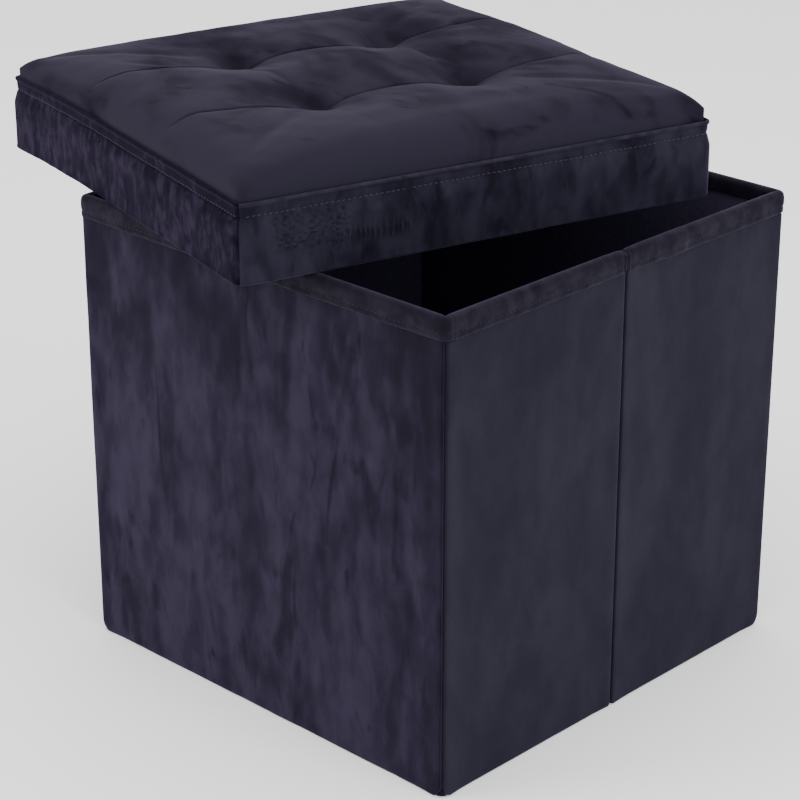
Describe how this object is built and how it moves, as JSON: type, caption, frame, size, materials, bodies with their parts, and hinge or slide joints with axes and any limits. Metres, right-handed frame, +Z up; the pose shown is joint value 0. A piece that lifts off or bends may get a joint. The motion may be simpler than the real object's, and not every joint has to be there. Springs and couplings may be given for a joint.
{
  "type": "ottoman with storage",
  "caption": "Square folding storage ottoman in dark crushed velvet, with creased side walls, a hinged base board and a loose tufted padded lid lying askew on its rim.",
  "frame": {"origin": "centre of the box's footprint, on the floor, at the underside of the base board", "axes": "+Z up; -Y is the plain front wall that carries the base board's hinge, +Y the plain back wall, and the side walls at -X and +X are creased in the middle"},
  "size_m": [0.5061, 0.4722, 0.4373],
  "materials": {
    "velvet": "crushed velvet, matt with a purple-grey nap sheen",
    "rim_velvet": "folded velvet binding",
    "lid_velvet": "crushed velvet, matt with a purple-grey nap sheen",
    "lining": "black non-woven lining",
    "foam": "open-cell foam",
    "thread": "twisted thread",
    "panel_board": "bare fibreboard"
  },
  "bodies": {
    "front_wall": {"front_board": "panel_board", "front_cover": "velvet", "front_lining": "lining", "front_rim_binding": "rim_velvet", "front_left_corner_wrap": "velvet", "front_right_corner_wrap": "velvet"},
    "right_front_half": {"right_front_board": "panel_board", "right_front_cover": "velvet", "right_front_lining": "lining", "right_front_rim_binding": "rim_velvet"},
    "right_back_half": {"right_back_board": "panel_board", "right_back_cover": "velvet", "right_back_lining": "lining", "right_back_rim_binding": "rim_velvet"},
    "back_wall": {"back_board": "panel_board", "back_cover": "velvet", "back_lining": "lining", "back_rim_binding": "rim_velvet", "back_left_corner_wrap": "velvet", "back_right_corner_wrap": "velvet"},
    "left_front_half": {"left_front_board": "panel_board", "left_front_cover": "velvet", "left_front_lining": "lining", "left_front_rim_binding": "rim_velvet"},
    "left_back_half": {"left_back_board": "panel_board", "left_back_cover": "velvet", "left_back_lining": "lining", "left_back_rim_binding": "rim_velvet"},
    "base_flap": {"base_board": "panel_board", "base_lining": "lining"},
    "lid": {"lid_board": "panel_board", "lid_foam": "foam", "lid_cover": "lid_velvet", "lid_lining": "lining", "lid_piping": "lid_velvet", "lid_skirt_front": "panel_board", "lid_skirt_back": "panel_board", "lid_skirt_left": "panel_board", "lid_skirt_right": "panel_board", "tuft_tie_1": "thread", "tuft_tie_2": "thread", "tuft_tie_3": "thread", "tuft_tie_4": "thread"}
  },
  "joints": [
    {"name": "side_fold", "type": "hinge", "parent": "front_wall", "child": "right_front_half", "pos_m": [0.1749, -0.1703, 0], "axis": [0, 0, 1], "range_deg": [0, 88]},
    {"name": "right_crease", "type": "hinge", "parent": "right_front_half", "child": "right_back_half", "pos_m": [0.1838, 0, 0], "axis": [0, 0, 1], "range_deg": [-176, 0]},
    {"name": "back_right_corner", "type": "hinge", "parent": "right_back_half", "child": "back_wall", "pos_m": [0.1749, 0.1703, 0], "axis": [0, 0, 1], "range_deg": [0, 88]},
    {"name": "front_left_corner", "type": "hinge", "parent": "front_wall", "child": "left_front_half", "pos_m": [-0.1749, -0.1703, 0], "axis": [0, 0, 1], "range_deg": [-88, 0]},
    {"name": "left_crease", "type": "hinge", "parent": "left_front_half", "child": "left_back_half", "pos_m": [-0.1838, 0, 0], "axis": [0, 0, 1], "range_deg": [0, 176]},
    {"name": "base_flap_hinge", "type": "hinge", "parent": "front_wall", "child": "base_flap", "pos_m": [0, -0.1743, 0.0032], "axis": [1, 0, 0], "range_deg": [0, 90]},
    {"name": "lid_lift", "type": "slide", "parent": "front_wall", "child": "lid", "axis": [0, 0, 1], "range_m": [0, 0.3]}
  ],
  "couplings": [
    {"joint": "right_crease", "follows": "side_fold", "ratio": -2},
    {"joint": "back_right_corner", "follows": "side_fold", "ratio": 1},
    {"joint": "front_left_corner", "follows": "side_fold", "ratio": -1},
    {"joint": "left_crease", "follows": "side_fold", "ratio": 2}
  ]
}
